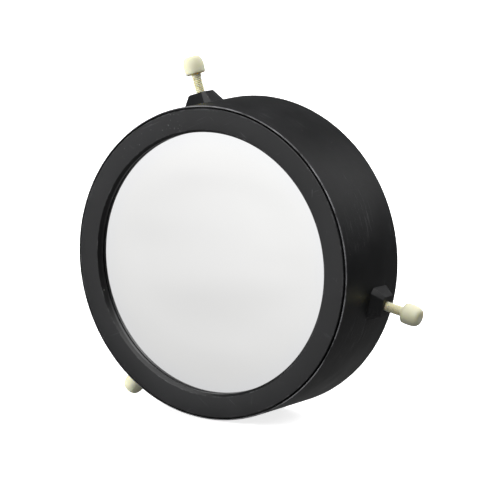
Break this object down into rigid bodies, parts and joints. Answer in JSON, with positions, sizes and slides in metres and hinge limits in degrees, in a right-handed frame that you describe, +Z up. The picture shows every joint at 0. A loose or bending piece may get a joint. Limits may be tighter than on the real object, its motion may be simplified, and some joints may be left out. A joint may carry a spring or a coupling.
{
  "type": "solar filter cap",
  "caption": "Slip-on full-aperture solar filter cap for a telescope tube, with a recessed reflective film and nylon thumb screws that grip the tube.",
  "frame": {"origin": "on the optical axis, in the plane that the end of the telescope tube stops against", "axes": "+Y along the optical axis, out of the open end where the tube leaves; the film faces -Y; +Z up as the cap stands on its rim; +X to the right seen from the front"},
  "size_m": [0.144, 0.04, 0.1424],
  "materials": {
    "cap_plastic": "black ABS, fine moulded texture, satin",
    "ring_plastic": "black ABS, smooth satin",
    "film": "vacuum-silvered polymer film, slightly rippled mirror",
    "foam": "black closed-cell foam",
    "nylon": "natural nylon, cream, translucent satin",
    "steel": "zinc plated"
  },
  "bodies": {
    "cap": {"barrel": "cap_plastic", "front_ring": "ring_plastic", "solar_film": "film", "film_gasket": "foam", "film_rear_ring": "cap_plastic", "retaining_ring": "ring_plastic", "clamp_screw_1": "steel", "clamp_screw_2": "steel", "clamp_screw_3": "steel", "clamp_screw_4": "steel", "clamp_screw_5": "steel", "clamp_screw_6": "steel", "upper_nut": "steel", "right_nut": "steel", "lower_nut": "steel"},
    "upper_screw": {"upper_thumb_screw": "nylon"},
    "right_screw": {"right_thumb_screw": "nylon"},
    "lower_screw": {"lower_thumb_screw": "nylon"}
  },
  "joints": [
    {"name": "upper_screw_travel", "type": "slide", "parent": "cap", "child": "upper_screw", "axis": [0.3007, 0, -0.9537], "range_m": [-0.0094, 0.0076]},
    {"name": "right_screw_travel", "type": "slide", "parent": "cap", "child": "right_screw", "axis": [-0.9763, 0, 0.2164], "range_m": [-0.0094, 0.0076]},
    {"name": "lower_screw_travel", "type": "slide", "parent": "cap", "child": "lower_screw", "axis": [0.6756, 0, 0.7373], "range_m": [-0.0094, 0.0076]}
  ]
}
